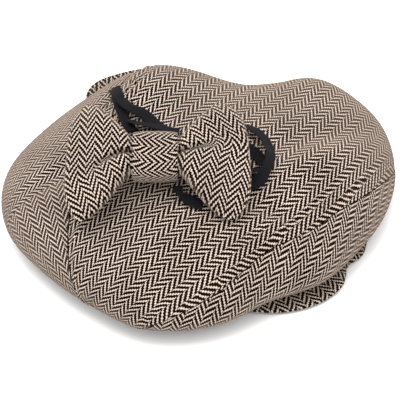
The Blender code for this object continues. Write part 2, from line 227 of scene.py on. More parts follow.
def seam_dip(angle, t):
    """How far the cloth dips to the seams: a bell across each, and beside it the puckers, two
    waves along the seam inside a wider bell that spares the seam itself."""
    total = 0
    for arc in (FRONT_SEAM, BACK_SEAM):
        line = seam(angle, arc)
        strength = np.clip((ROLL_AT - line) / SEAM_FADE, 0, 1)
        short, long = (np.sin(angle / PUCKER_STEP * wave) for wave in PUCKER_WAVES)
        pucker = SEAM_PUCKER * (short + long)
        bell = np.exp(-(((t - line) / SEAM_DIP_WIDTH) ** 2))
        wide = PUCKER_WIDENING * SEAM_DIP_WIDTH
        wide_bell = np.exp(-(((t - line + PUCKER_INWARD) / wide) ** 2))
        total = total + strength * (SEAM_DIP * bell + pucker * wide_bell * (1 - bell))
    return total


def dome_height(share, angle):
    """The crown's height at a share of the rim's radius: a superellipse, without its folds."""
    flatness = FLATNESS_MEAN + FLATNESS_SWING * np.cos(angle - FLATTEST_SIDE)
    return RIM_HEIGHT + (CROWN_TOP - RIM_HEIGHT) * np.sqrt(np.clip(1 - share**flatness, 0, 1))


def crown(angle, t):
    """A point of the crown's outer face: over the dome, a quarter circle round the rim's roll,
    then straight in to the band, with the folds and a slight slackness added to its height and
    the seams' dips taken off it."""
    share = np.sin(np.clip(t / RIM_AT, 0, 1) * math.pi / 2)
    turn = np.clip((t - RIM_AT) / (ROLL_AT - RIM_AT), 0, 1) * math.pi / 2
    inward = np.clip((t - ROLL_AT) / (1 - ROLL_AT), 0, 1)
    reach = rim_radius(angle) * share - RIM_ROLL * (1 - np.cos(turn))
    x = reach * np.cos(angle)
    y = reach * np.sin(angle)
    slack = folds(x, y) + SLACK * (soft_noise(x, y, SLACK_STEP, SLACK_SEED) - SLACK_SAG)
    z = dome_height(share, angle) - RIM_ROLL * np.sin(turn)
    z = z + slack * (1 - share**FOLD_FADE) - seam_dip(angle, t)
    hem = band_line(angle, band_radius(angle, GAP), RIM_HEIGHT - RIM_ROLL)
    rolled = np.stack([x, y, z], axis=-1)
    return rolled + (hem - rolled) * inward[..., None]


def square_to(along, across):
    """Unit vectors square to two directions."""
    normal = np.cross(along, across)
    return normal / np.maximum(np.linalg.norm(normal, axis=-1, keepdims=True), 1e-12)


def crown_normals(angle, t):
    """The crown's normals, from the points a little way to each side in t and in angle."""
    step = 0.003
    down = crown(angle, t + step) - crown(angle, t - step)
    around = crown(angle + step, t) - crown(angle - step, t)
    return square_to(down, around)


def cloth_body(name, outer, inner, pattern, wrap=False, pole=False):
    """A closed body between two grids of points, walled along its edges. Each grid point has its
    place in the flat cloth as the UV. Wrap joins the last column to the first, and pole draws the
    first row together into one point."""
    rows, columns = outer.shape[:2]
    count = rows * columns
    grid = np.arange(count).reshape(rows, columns)
    vertex = grid.copy()
    if wrap:
        vertex[:, -1] = vertex[:, 0]
    if pole:
        vertex[0] = vertex[0, 0]
    vertex = np.concatenate([vertex.ravel(), vertex.ravel() + count])

    def quads(a, b, c, d):
        return np.stack([a.ravel(), b.ravel(), c.ravel(), d.ravel()], axis=1)

    top = grid
    under = grid + count
    start = 1 if pole else 0
    this, after = slice(start, -1), slice(start + 1, None)
    faces = [
        quads(top[this, :-1], top[after, :-1], top[after, 1:], top[this, 1:]),
        quads(under[this, 1:], under[after, 1:], under[after, :-1], under[this, :-1]),
        quads(top[-1, 1:], top[-1, :-1], under[-1, :-1], under[-1, 1:]),
    ]
    if not pole:
        faces.append(quads(top[0, :-1], top[0, 1:], under[0, 1:], under[0, :-1]))
    if not wrap:
        faces.append(quads(top[1:, 0], top[:-1, 0], under[:-1, 0], under[1:, 0]))
        faces.append(quads(top[:-1, -1], top[1:, -1], under[1:, -1], under[:-1, -1]))
    corners = np.concatenate(faces)
    inside = np.repeat([0, 1] + [0] * (len(faces) - 2), [len(face) for face in faces])
    tips = np.zeros((0, 3), int)
    if pole:
        tips = np.concatenate(
            [
                np.stack([top[0, :-1], top[1, :-1], top[1, 1:]], axis=1),
                np.stack([under[0, :-1], under[1, 1:], under[1, :-1]], axis=1),
            ]
        )
        inside = np.concatenate([inside, np.repeat([0, 1], columns - 1)])
    loops = np.concatenate([corners.ravel(), tips.ravel()])
    used, place = np.unique(vertex[loops], return_inverse=True)
    points = np.concatenate([outer.reshape(-1, 3), inner.reshape(-1, 3)])[used] + CROWN_MIDDLE
    split = corners.size
    faces = place[:split].reshape(-1, 4).tolist() + place[split:].reshape(-1, 3).tolist()
    mesh = bpy.data.meshes.new(name)
    mesh.from_pydata(points.tolist(), [], faces)
    flat = np.concatenate([pattern.reshape(-1, 2), pattern.reshape(-1, 2)])[loops]
    mesh.uv_layers.new(name="cloth").data.foreach_set("uv", flat.ravel().astype(np.float32))
    mesh.polygons.foreach_set("material_index", inside.astype(np.int32))
    mesh.shade_smooth()
    mesh.set_sharp_from_angle(angle=SHARP_EDGE)
    made = bpy.data.objects.new(name, mesh)
    bpy.context.scene.collection.objects.link(made)
    return made


def stand_for(piece, node, *surfaces):
    """Puts a piece in its CAD node's place, with its materials: outside first, then inside."""
    for surface in surfaces:
        piece.data.materials.append(surface)
    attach(piece, "root")
    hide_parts(node)


def new_group(name, inputs, outputs):
    """An empty shader group with its sockets: (name, kind, value) in, (name, kind) out."""
    group = bpy.data.node_groups.new(name, "ShaderNodeTree")
    for socket, kind, value in inputs:
        made = group.interface.new_socket(socket, in_out="INPUT", socket_type="NodeSocket" + kind)
        if value is not None:
            made.default_value = value
    for socket, kind in outputs:
        group.interface.new_socket(socket, in_out="OUTPUT", socket_type="NodeSocket" + kind)
    return group, group.nodes.new("NodeGroupInput"), group.nodes.new("NodeGroupOutput")


def wire(tree, node, values):
    """Fills a node's inputs, each from a number or from another node's output socket."""
    for key, value in values.items():
        if isinstance(value, bpy.types.NodeSocket):
            tree.links.new(value, node.inputs[key])
        else:
            node.inputs[key].default_value = value


def math_of(tree, operation, *values):
    """A Math node's result, from numbers and sockets."""
    node = tree.nodes.new("ShaderNodeMath")
    node.operation = operation
    wire(tree, node, dict(enumerate(values)))
    return node.outputs[0]


def noise_of(tree, vector, scale, detail=2.0, roughness=0.5):
    """A Noise node's value at a vector, from about 0.3 to 0.7."""
    node = tree.nodes.new("ShaderNodeTexNoise")
    wire(tree, node, {"Vector": vector, "Scale": scale, "Detail": detail, "Roughness": roughness})
    return node.outputs[0]


def range_of(tree, value, low, high, to_low, to_high, smooth=False):
    """A value brought from one range to another, and kept inside it."""
    node = tree.nodes.new("ShaderNodeMapRange")
    node.interpolation_type = "SMOOTHSTEP" if smooth else "LINEAR"
    wire(tree, node, dict(enumerate((value, low, high, to_low, to_high))))
    return node.outputs[0]


def blend_of(tree, share, a, b):
    """One colour mixed into another."""
    node = tree.nodes.new("ShaderNodeMix")
    node.data_type = "RGBA"
    wire(tree, node, {0: share, 6: a, 7: b})
    return node.outputs[2]


# The weave wanders a little from its lines. A stroke climbs evenly for one share of its way and in
# steps of one yarn for the other. Fibres blur the strokes' edges.
DRIFT_SCALE = 55.0
DRIFT_REACH = 0.0016
EVEN_CLIMB = 0.2
STEPPED_CLIMB = 0.8
FIBRE_SCALE = 1500.0
FIBRE_BLUR = 1.1
YARN_WIDTH = 0.0009
# What the pale strokes, the single yarns and the fibres add to the height.
STROKE_RELIEF = 0.7
YARN_RELIEF = 0.16
FIBRE_RELIEF = 0.5
# The unevenness of the tone is part fibres and part wider patches.
PATCH_SCALE = 28.0
FIBRE_TONE = 0.6
PATCH_TONE = 0.4
# Columns are counted from far outside the cloth, so that none has a number under 0.
COLUMNS_BEFORE = 1000.0


def herringbone_group():
    """Broken zigzag weave. Across the cloth, X is folded into a triangle wave one column wide, cut
    into steps of one yarn. Y plus that wave times the slant gives the phase of the strokes, and the
    sine of the phase gives light and dark yarn."""
    group, given, out = new_group(
        "herringbone",
        (
            ("Cloth", "Vector", None),
            ("Column", "Float", 0.0056),
            ("Pitch", "Float", 0.0048),
            ("Slant", "Float", 1.25),
            ("Offset", "Float", 0.4),
            ("Yarns", "Float", 5.0),
            ("Softness", "Float", 0.2),
            ("Balance", "Float", -0.48),
        ),
        (("Light", "Float"), ("Height", "Float"), ("Uneven", "Float")),
    )
    cloth = given.outputs["Cloth"]
    drift = noise_of(group, cloth, DRIFT_SCALE, detail=1.0)
    split = group.nodes.new("ShaderNodeSeparateXYZ")
    wire(group, split, {0: cloth})
    shift = math_of(group, "MULTIPLY", math_of(group, "SUBTRACT", drift, 0.5), DRIFT_REACH)
    across = math_of(group, "ADD", split.outputs[0], shift)
    along = math_of(group, "ADD", split.outputs[1], shift)
    columns = math_of(group, "DIVIDE", across, given.outputs["Column"])
    wave = math_of(group, "PINGPONG", columns, 1.0)
    yarns = math_of(group, "MULTIPLY", wave, given.outputs["Yarns"])
    stepped = math_of(group, "DIVIDE", math_of(group, "ROUND", yarns), given.outputs["Yarns"])
    even = math_of(group, "MULTIPLY", wave, EVEN_CLIMB)
    climb = math_of(group, "ADD", even, math_of(group, "MULTIPLY", stepped, STEPPED_CLIMB))
    climb = math_of(group, "MULTIPLY", climb, given.outputs["Column"])
    climb = math_of(group, "MULTIPLY", climb, given.outputs["Slant"])
    counted = math_of(group, "ADD", columns, COLUMNS_BEFORE)
    odd = math_of(group, "MODULO", math_of(group, "FLOOR", counted), 2.0)
    phase = math_of(group, "DIVIDE", math_of(group, "ADD", along, climb), given.outputs["Pitch"])
    phase = math_of(group, "ADD", phase, math_of(group, "MULTIPLY", odd, given.outputs["Offset"]))
    swing = math_of(group, "SINE", math_of(group, "MULTIPLY", phase, 2 * math.pi))
    fibre = noise_of(group, cloth, FIBRE_SCALE, roughness=0.7)
    blur = math_of(group, "MULTIPLY", math_of(group, "SUBTRACT", fibre, 0.5), FIBRE_BLUR)
    rough_swing = math_of(group, "ADD", swing, blur)
    rough_swing = math_of(group, "ADD", rough_swing, given.outputs["Balance"])
    soft = given.outputs["Softness"]
    hard = math_of(group, "MULTIPLY", soft, -1.0)
    light = range_of(group, rough_swing, hard, soft, 0.0, 1.0, smooth=True)
    yarn_turn = math_of(group, "SINE", math_of(group, "MULTIPLY", across, 2 * math.pi / YARN_WIDTH))
    ridge = math_of(group, "MULTIPLY", yarn_turn, YARN_RELIEF)
    height = math_of(group, "ADD", math_of(group, "MULTIPLY", light, STROKE_RELIEF), ridge)
    height = math_of(group, "ADD", height, math_of(group, "MULTIPLY", fibre, FIBRE_RELIEF))
    patches = noise_of(group, cloth, PATCH_SCALE, detail=3.0, roughness=0.6)
    fine = math_of(group, "MULTIPLY", fibre, FIBRE_TONE)
    uneven = math_of(group, "ADD", fine, math_of(group, "MULTIPLY", patches, PATCH_TONE))
    wire(group, out, {"Light": light, "Height": height, "Uneven": uneven})
    return group


def new_material(name, roughness):
    """A material with its Principled shader."""
    made = bpy.data.materials.new(name)
    made.use_nodes = True
    shader = made.node_tree.nodes["Principled BSDF"]
    shader.inputs["Roughness"].default_value = roughness
    return made, made.node_tree, shader


def bump_into(tree, shader, height, distance, strength):
    """A Bump node from a height to the shader's normal."""
    bump = tree.nodes.new("ShaderNodeBump")
    wire(tree, bump, {"Height": height, "Distance": distance, "Strength": strength})
    tree.links.new(bump.outputs[0], shader.inputs["Normal"])


HERRINGBONE = herringbone_group()
LIGHT_YARN = (0.56, 0.48, 0.42, 1)
LIGHT_YARN_SHADE = (0.31, 0.25, 0.205, 1)
DARK_YARN = (0.003, 0.0006, 0.0001, 1)
DARK_YARN_SHADE = (0.012, 0.004, 0.001, 1)
# The painted sheen's colour: pale fibres lit at a slant, mixed over the weave.
PAINTED_SHEEN_COLOUR = (0.21, 0.155, 0.12, 1)
# The unevenness runs from the one tone to the other between these values.
TONE_FROM = 0.35
TONE_TO = 0.65
# The painted sheen, the pale colour of fibres that stand off the cloth and catch the light, begins
# to show at the first slant and shows most at the second, where it hides this share of the weave.
PAINTED_SHEEN_FROM = 0.28
PAINTED_SHEEN_TO = 0.72
PAINTED_SHEEN_SHARE = 0.38


def tweed(name, pitch=0.0048, slant=1.25, offset=0.4, sheen_lift=0.0):
    """Herringbone wool: pale and dark brown yarn, uneven in tone, with a fibrous, dull face. Seen at
    a slant, it has a painted sheen: the pale colour of fibres that stand off the cloth and catch the
    light is mixed over part of the dark yarn. A lift of more than 0 mixes as much of that painted
    sheen in from all sides, painted light that makes the whole piece paler."""
    made, tree, shader = new_material(name, roughness=0.92)
    place = tree.nodes.new("ShaderNodeUVMap")
    place.uv_map = "cloth"
    weave = tree.nodes.new("ShaderNodeGroup")
    weave.node_tree = HERRINGBONE
    wire(tree, weave, {"Cloth": place.outputs[0], "Pitch": pitch, "Slant": slant, "Offset": offset})
    uneven = range_of(tree, weave.outputs["Uneven"], TONE_FROM, TONE_TO, 0.0, 1.0)
    pale = blend_of(tree, uneven, LIGHT_YARN_SHADE, LIGHT_YARN)
    dark = blend_of(tree, uneven, DARK_YARN, DARK_YARN_SHADE)
    colour = blend_of(tree, weave.outputs["Light"], dark, pale)
    # Painted sheen: the fibres' pale colour mixed in where the cloth is seen at a slant, and from
    # all sides by the lift.
    seen = tree.nodes.new("ShaderNodeLayerWeight")
    seen.inputs["Blend"].default_value = 0.5
    aslant = seen.outputs["Facing"]
    painted_sheen = range_of(tree, aslant, PAINTED_SHEEN_FROM, PAINTED_SHEEN_TO, sheen_lift, PAINTED_SHEEN_SHARE + sheen_lift)
    colour = blend_of(tree, painted_sheen, colour, PAINTED_SHEEN_COLOUR)
    wire(tree, shader, {"Base Color": colour, "Sheen Weight": 0.003, "Sheen Roughness": 0.5})
    shader.inputs["Specular IOR Level"].default_value = 0.02
    bump_into(tree, shader, weave.outputs["Height"], distance=0.0005, strength=0.7)
    return made


LINING_DARK = (0.008, 0.008, 0.009, 1)
LINING_PALE = (0.020, 0.019, 0.020, 1)


def lining(name):
    """Thin black lining cloth: a fine plain weave with a slight satin gloss."""
    made, tree, shader = new_material(name, roughness=0.65)
    place = tree.nodes.new("ShaderNodeUVMap")
    place.uv_map = "cloth"
    threads = tree.nodes.new("ShaderNodeTexWave")
    wire(tree, threads, {"Vector": place.outputs[0], "Scale": 450.0, "Distortion": 1.0})
    grain = noise_of(tree, place.outputs[0], scale=300.0)
    colour = blend_of(tree, grain, LINING_DARK, LINING_PALE)
    wire(tree, shader, {"Base Color": colour, "Sheen Weight": 0.01})
    shader.inputs["Specular IOR Level"].default_value = 0.15
    bump_into(tree, shader, threads.outputs["Fac"], distance=0.0002, strength=0.4)
    return made


LINING = lining("black_lining")
# Nearer to the crown's middle than this, a point takes the direction of one further out.
NEAR_MIDDLE = 0.02


def crown_pattern(angle, t, cut):
    """Where the crown's points lie in the flat cloth. They are first laid flat round the crown's
    middle, as far from it as the way over the crown, without the seams' dips, and in the same
    direction in plan. The places across and along the weave are then sums of x, y, x^2, xy and y^2
    of that, because the cloth was cut at a slant and drawn out of line when it was sewn."""
    points = crown(angle, t)
    points[..., 2] += seam_dip(angle, t)
    steps = np.linalg.norm(np.diff(points, axis=0), axis=-1)
    length = np.concatenate([np.zeros_like(steps[:1]), np.cumsum(steps, axis=0)])
    direction = np.arctan2(points[..., 1], points[..., 0])
    further_out = direction[len(direction) // 2][None]
    direction = np.where(length > NEAR_MIDDLE, direction, further_out)
    x = length * np.cos(direction)
    y = length * np.sin(direction)
    terms = np.stack([x, y, x * x, x * y, y * y], axis=-1)
    return terms @ np.array(cut).T


TOP_COLUMNS = 288
TOP_RINGS = 121
# What a place across the weave and one along it take of x, y, x^2, xy and y^2.
TOP_CUT = ((-0.29, 0.95, -1.0, -0.65, -0.1), (0.90, 0.17, -0.56, 0.12, 0.06))


def crown_top():
    """The disc inside both seams, in rings from the crown's middle to its edge."""
    angle = np.linspace(0, 2 * math.pi, TOP_COLUMNS + 1)
    edge = np.minimum(seam(angle, FRONT_SEAM), seam(angle, BACK_SEAM))
    t = np.linspace(0, 1, TOP_RINGS)[:, None] * edge
    angle = np.broadcast_to(angle, t.shape)
    outer = crown(angle, t)
    facing = crown_normals(angle, t)
    facing[0] = facing[1].mean(axis=0) / np.linalg.norm(facing[1].mean(axis=0))
    inner = outer - CLOTH * facing
    pattern = crown_pattern(angle, t, TOP_CUT)
    return cloth_body("crown_top_cloth", outer, inner, pattern, wrap=True, pole=True)


stand_for(crown_top(), "crown_top", tweed("crown_top_tweed"), LINING)

# ---------------------------------------------------------------------------------------------
# The crown's back, left and front panels: the same tweed, each cut at its own slant, and sewn to
# the top panel and to each other face to face, so each seam is a thin dark groove.
# ---------------------------------------------------------------------------------------------
SEAM_GAP = 0.0035
SIDE_COLUMNS = 181
SIDE_ROWS = 91
COVERED_ROWS = 49
BACK_CUT = ((0.30, 0.95, 0, 0, 0), (1.1, -0.30, 0, 0, 0))
LEFT_CUT = ((-1.0, 0.4, 0, 0, 0), (0.45, 0.8, 0, 0, 0))
FRONT_CUT = ((-0.69, 0.80, -1.1, -0.2, 0.2), (0.81, 0.46, 0, 0.1, -0.1))
# Each panel's first and last angle and the one that it is drawn in towards, in degrees, by what
# share of the way, its seam, its cut, and how much painted sheen is laid over its cloth from all
# sides, painted light that makes it paler.
SIDE_PANELS = {
    "crown_back": (54, 162, 129, 0.005, BACK_SEAM, BACK_CUT, 0.0),
    "crown_left": (162, 204, 165, 0.010, BACK_SEAM, LEFT_CUT, 0.08),
    "crown_front": (210, 354, 282, 0.005, FRONT_SEAM, FRONT_CUT, 0.0),
}


def crown_side(name, first, last, towards, share, arc, cut):
    """A panel from its seam to the band, over a range of angles in degrees, drawn in towards one
    of them by a share of the way. It starts at the seam's arc moved out by the gap. Its pattern is
    taken along the crown from the middle, through the rows that the top panel covers."""
    angle = np.radians(np.linspace(first, last, SIDE_COLUMNS))
    direction, distance, radius = arc
    line = seam(angle, (direction, distance + SEAM_GAP, radius))
    angle = angle + share * (math.radians(towards) - angle)
    covered = np.linspace(0, 1, COVERED_ROWS + 1)[:-1, None] * line
    t = np.concatenate([covered, line + (1 - line) * np.linspace(0, 1, SIDE_ROWS)[:, None]])
    angle = np.broadcast_to(angle, t.shape)
    pattern = crown_pattern(angle, t, cut)
    shown = slice(len(covered), None)
    outer = crown(angle, t)[shown]
    facing = crown_normals(angle, t)[shown]
    return cloth_body(name, outer, outer - CLOTH * facing, pattern[shown])


# The left panel gets painted sheen from all sides, painted light that makes it paler.
for node, (*panel, sheen_lift) in SIDE_PANELS.items():
    side_panel = crown_side(node + "_cloth", *panel)
    stand_for(side_panel, node, tweed(node + "_tweed", sheen_lift=sheen_lift), LINING)

# ---------------------------------------------------------------------------------------------
# The head band: a strip of the same tweed round the head opening, sewn to the crown's edge.
# ---------------------------------------------------------------------------------------------
BAND_HEIGHT = 0.018
BAND_CLOTH = 0.0024
BAND_WAIST = 0.0006
BAND_COLUMNS = 241
BAND_ROWS = 7


def head_band():
    """An oval ring, drawn in at half its height by a squared sine, with the weave's columns
    standing upright in it."""
    angle = np.linspace(0, 2 * math.pi, BAND_COLUMNS)
    z = np.linspace(BAND_HEIGHT, 0, BAND_ROWS)[:, None]
    waist = BAND_WAIST * np.sin(np.linspace(0, math.pi, BAND_ROWS))[:, None] ** 2
    outer = band_line(angle, band_radius(angle, 0) - waist, z)
    inner = band_line(angle, band_radius(angle, -BAND_CLOTH) - waist, z)
    around = np.broadcast_to(angle * (BAND_HALF_WIDTH + BAND_HALF_LENGTH) / 2, outer.shape[:2])
    pattern = np.stack([around, outer[..., 2]], axis=-1)
    return cloth_body("head_band_cloth", outer, inner, pattern, wrap=True)


band_tweed = tweed("head_band_tweed")
stand_for(head_band(), "head_band", band_tweed, band_tweed)

# ---------------------------------------------------------------------------------------------
# The peaks and the ear flaps: crescents of tweed over a stiffener, lined with black cloth below
# and sewn to the band. The front peak's edge is wavy, and the rear peak is turned up.
# ---------------------------------------------------------------------------------------------
STIFF_CLOTH = 0.003
PEAK_COLUMNS = 161
PEAK_ROWS = 41
# The corners are rounded off by this power, down to this share of the depth at the ends. The
# thickness is rounded off at the edge by the other power, down to this share of its square.
CORNER_POWER = 5
END_SHARE = 0.15
EDGE_POWER = 24
EDGE_SHARE = 0.05
# Turn is the direction of the middle and spread reaches to each end, in degrees. Heights are the
# undersides' above the surface, in equal steps from the band over the depth. A wave is a fuller or
# slacker place of an edge: its place and width in degrees, and how far it goes in metres.
FRONT_PEAK = {
    "turn": -82,
    "spread": 52,
    "depth": 0.041,
    "heights": (0.0040, 0.0036, 0.0030, 0.0020, 0.0010),
    "waves": ((-4, 12, 0.004), (12, 5, -0.006), (-30, 10, -0.006)),
}
REAR_PEAK = {
    "turn": 82,
    "spread": 26,
    "depth": 0.050,
    "heights": (0.0020, 0.0024, 0.0036, 0.0088, 0.0220, 0.0350),
    "waves": (),
}
RIGHT_FLAP = {
    "turn": 3,
    "spread": 27,
    "depth": 0.038,
    "heights": (0.0015, 0.0010, 0.0006),
    "waves": (),
}
LEFT_FLAP = {**RIGHT_FLAP, "turn": 177}


def crescent(name, turn, spread, depth, heights, waves):
    """A sheet from the band to a curved edge. The edge's reach is the depth, less the fifth power
    of the share of the spread, plus the waves' bells. Its edge is rounded off over the thickness."""
    aside = np.linspace(-spread, spread, PEAK_COLUMNS)
    angle = np.radians(turn + aside)
    edge = depth * np.clip(1 - np.abs(aside / spread) ** CORNER_POWER, END_SHARE, 1)
    for place, width, height in waves:
        edge = edge + height * np.exp(-(((aside - place) / width) ** 2))
    share = np.sin(np.linspace(0, 1, PEAK_ROWS) * math.pi / 2)[:, None]
    z = np.interp(edge * share, np.linspace(0, depth, len(heights)), heights)
    under = band_line(angle, band_radius(angle, GAP) + edge * share, z)
    facing = square_to(np.gradient(under, axis=0), np.gradient(under, axis=1))
    thickness = STIFF_CLOTH * np.sqrt(np.clip(1 - share**EDGE_POWER, EDGE_SHARE, 1))
    outer = under + facing * (STIFF_CLOTH + thickness)[..., None] / 2
    inner = under + facing * (STIFF_CLOTH - thickness)[..., None] / 2
    away = edge * share
    around = np.broadcast_to(np.radians(aside) * (BAND_HALF_WIDTH + depth), away.shape)
    pattern = np.stack([around, away], axis=-1)
    return cloth_body(name, outer, inner, pattern)


# The rear peak gets the painted sheen colour from all sides, which makes it paler.
for node, shape, sheen_lift in (
    ("front_peak", FRONT_PEAK, 0.0),
    ("rear_peak", REAR_PEAK, 0.1),
    ("ear_flap_right", RIGHT_FLAP, 0.0),
    ("ear_flap_left", LEFT_FLAP, 0.0),
):
    stand_for(crescent(node + "_cloth", **shape), node, tweed(node + "_tweed", sheen_lift=sheen_lift), LINING)

# ---------------------------------------------------------------------------------------------
# The bow's loops: two folded tubes of the same tweed, full at their ends and creased where the
# knot gathers them. The weave's columns run up and down them.
# ---------------------------------------------------------------------------------------------
BOW_CENTRE = np.array([-0.0519, -0.0224, 0.0945])
BOW_TURN = math.radians(-34)
BOW_TILT = math.radians(30)
BOW_DROOP = 0.006
ROOT_START = 0.0015
ROOT_END = 0.0165
ROOT_HALF_HEIGHT = 0.0133
ROOT_HALF_DEPTH = 0.0086
LOBE_END = 0.050
LOBE_HALF_HEIGHT = 0.043
LOBE_HALF_DEPTH = 0.0125
LOBE_SLANT = 0.002
LOBE_BACK_SHARE = 0.5
LOBE_ROWS = 91
LOBE_COLUMNS = 221
# Powers that shape a loop: how soon it widens and fills out after the knot, how square the end
# fold's bulge is, and how close to the end fold and to the sides its depth is drawn in. The last
# value is the share of the depth's square that is taken off there.
WIDENING = 1.1
PUFF = 0.55
BULGE_POWER = 4
END_FOLD_POWER = 6
SIDE_POWER = 4
DRAWN_IN = 0.985
# The crease's two widths, as shares of the half height, the lip's part of it below, and the power
# by which it fades out from the knot.
CREASE_DEPTH = 0.0058
CREASE_LIP = 0.06
CREASE_SLOPE = 0.22
CREASE_LIP_PART = 0.5
CREASE_FADE = 0.6
# The weave above the crease and the weave below it turn about a place this far out, near the
# crease's end, so that they meet there and part towards the knot, where the crease takes cloth in.
PIN_OUT = 0.052
# The one weave passes into the other across the crease over this much of the half height at the
# knot, and over this much more at the end.
PASSING_AT_KNOT = 0.02
PASSING_GROWTH = 0.45
# Side is left or right of the knot, bulge the end fold's, and middle the v of the loop's middle.
# The crease has its places at the knot and at the end, and how far out it goes. Then come the
# turns of the weave above it and below it, in degrees.
LOBES = {
    "bow_left": {
        "side": -1,
        "bulge": 0.011,
        "middle": -0.002,
        "crease_at_knot": 0.05,
        "crease_at_end": -0.32,
        "crease_out": 0.95,
        "turn_above": 0,
        "turn_below": 21,
    },
    "bow_right": {
        "side": 1,
        "bulge": 0.014,
        "middle": -0.001,
        "crease_at_knot": 0.06,
        "crease_at_end": 0.25,
        "crease_out": 0.85,
        "turn_above": 30,
        "turn_below": -13,
    },
}


def bow_place(u, v, n):
    """Points of the bow's own frame, u along it, v up its face and n out of it, in the hat's."""
    along = np.array([math.cos(BOW_TURN), math.sin(BOW_TURN), 0])
    away = np.array([-math.sin(BOW_TURN), math.cos(BOW_TURN), 0])
    upright = np.array([0, 0, 1])
    rise = away * math.cos(BOW_TILT) + upright * math.sin(BOW_TILT)
    face = upright * math.cos(BOW_TILT) - away * math.sin(BOW_TILT)
    return BOW_CENTRE + u[..., None] * along + v[..., None] * rise + n[..., None] * face


def bow_lobe(
    name,
    side,
    bulge,
    middle,
    crease_at_knot,
    crease_at_end,
    crease_out,
    turn_above,
    turn_below,
):
    """One loop: s runs from the knot to the end fold and w across. Height grows as a sine from the
    root, depth is half a sine that swells soon after the knot, with rounded sides, and the crease
    is a bell, narrow above where the upper fold hangs over it, and wide below."""
    rows = np.linspace(0, 1, LOBE_ROWS)
    columns = np.linspace(1, -1, LOBE_COLUMNS)
    s, w = np.meshgrid(rows, columns, indexing="ij")
    s = np.sin(s * math.pi / 2)
    w = np.sin(w * math.pi / 2)
    end = LOBE_END - LOBE_SLANT * w + bulge * (1 - w**BULGE_POWER)
    u = ROOT_START + s * (end - ROOT_START)
    out = np.clip((u - ROOT_END) / (LOBE_END - ROOT_END), 0, 1)
    widening = np.sin(math.pi / 2 * out**WIDENING)
    half_height = ROOT_HALF_HEIGHT + (LOBE_HALF_HEIGHT - ROOT_HALF_HEIGHT) * widening
    swelling = np.sin(math.pi * out**PUFF)
    half_depth = ROOT_HALF_DEPTH + (LOBE_HALF_DEPTH - ROOT_HALF_DEPTH) * swelling
    half_depth = half_depth * np.sqrt(1 - DRAWN_IN * s**END_FOLD_POWER)
    half_depth = half_depth * np.sqrt(1 - DRAWN_IN * w**SIDE_POWER)
    away = w - crease_at_knot - (crease_at_end - crease_at_knot) * out
    lip = np.exp(-((away / CREASE_LIP) ** 2))
    slope = np.exp(-((away / CREASE_SLOPE) ** 2))
    fade = np.clip(1 - out / crease_out, 0, 1) ** CREASE_FADE
    below_lip = CREASE_LIP_PART * lip + (1 - CREASE_LIP_PART) * slope
    crease = CREASE_DEPTH * fade * np.where(away > 0, lip, below_lip)
    v = middle * out + half_height * w
    droop = -BOW_DROOP * out**2
    front = bow_place(side * u, v, droop + half_depth - crease)
    back = bow_place(side * u, v, droop - LOBE_BACK_SHARE * half_depth)
    below = np.clip(0.5 - away / (PASSING_AT_KNOT + PASSING_GROWTH * out**3), 0, 1)
    turned = np.radians(turn_above + (turn_below - turn_above) * below)
    from_pin_u = side * (u - PIN_OUT)
    from_pin_v = v - middle - LOBE_HALF_HEIGHT * crease_at_end
    pattern_u = from_pin_u * np.cos(turned) + from_pin_v * np.sin(turned)
    pattern_v = from_pin_v * np.cos(turned) - from_pin_u * np.sin(turned)
    pattern = np.stack([pattern_u, pattern_v], axis=-1)
    if side > 0:
        front, back = back, front
    return cloth_body(name, front, back, pattern)


bow_tweed = tweed("bow_tweed", pitch=0.0050, slant=1.5, offset=0.22)
for node, shape in LOBES.items():
    lobe = bow_lobe(node + "_loop", **shape)
    stand_for(lobe, node, bow_tweed, bow_tweed)

# ---------------------------------------------------------------------------------------------
# The bow's knot: a band of tweed wrapped round the loops' roots, its columns running along the bow.
# ---------------------------------------------------------------------------------------------
KNOT_HALF_LENGTH = 0.0150
KNOT_HALF_HEIGHT = 0.0168
KNOT_HALF_DEPTH = 0.0139
KNOT_MIDDLE = -0.0014
KNOT_COLUMNS = 121
KNOT_ROWS = 33
# How far both mouths are drawn in and by what power, and the power of the section's corners.
MOUTH_DRAWN_IN = 0.06
MOUTH_POWER = 3
KNOT_CORNERS = 0.7


def bow_knot():
    """A ring with a superellipse section, drawn in slightly at both mouths."""
    turn = -np.linspace(0, 2 * math.pi, KNOT_COLUMNS)
    c, s = np.cos(turn), np.sin(turn)
    u = np.linspace(-KNOT_HALF_LENGTH, KNOT_HALF_LENGTH, KNOT_ROWS)[:, None]
    belly = 1 - MOUTH_DRAWN_IN * np.abs(u / KNOT_HALF_LENGTH) ** MOUTH_POWER
    walls = []
    for inset in (0, CLOTH):
        v = (KNOT_HALF_HEIGHT * belly - inset) * np.sign(c) * np.abs(c) ** KNOT_CORNERS
        n = (KNOT_HALF_DEPTH * belly - inset) * np.sign(s) * np.abs(s) ** KNOT_CORNERS
        walls.append(bow_place(np.broadcast_to(u, v.shape), v, n + KNOT_MIDDLE))
    steps = np.linalg.norm(np.diff(walls[0], axis=1), axis=-1)
    around = np.concatenate([np.zeros_like(steps[:, :1]), np.cumsum(steps, axis=1)], axis=1)
    pattern = np.stack([around, np.broadcast_to(u, around.shape)], axis=-1)
    return cloth_body("bow_knot_wrap", *walls, pattern, wrap=True)


knot_tweed = tweed("knot_tweed", pitch=0.0043, slant=1.25, offset=0.22)
stand_for(bow_knot(), "bow_knot", knot_tweed, knot_tweed)

# ---------------------------------------------------------------------------------------------
# The tapes: flat black woven tape that lies in loops on the crown, and comes out from under the
# bow. The ends are cut square.
# ---------------------------------------------------------------------------------------------
TAPE_WIDTH = 0.0092
TAPE_CLOTH = 0.0011
TAPE_COLUMNS = 9
# The thickness is rounded off towards both edges: its square loses this share of itself, times
# this power of the way out from the middle.
TAPE_EDGE = 0.9
TAPE_EDGE_POWER = 8
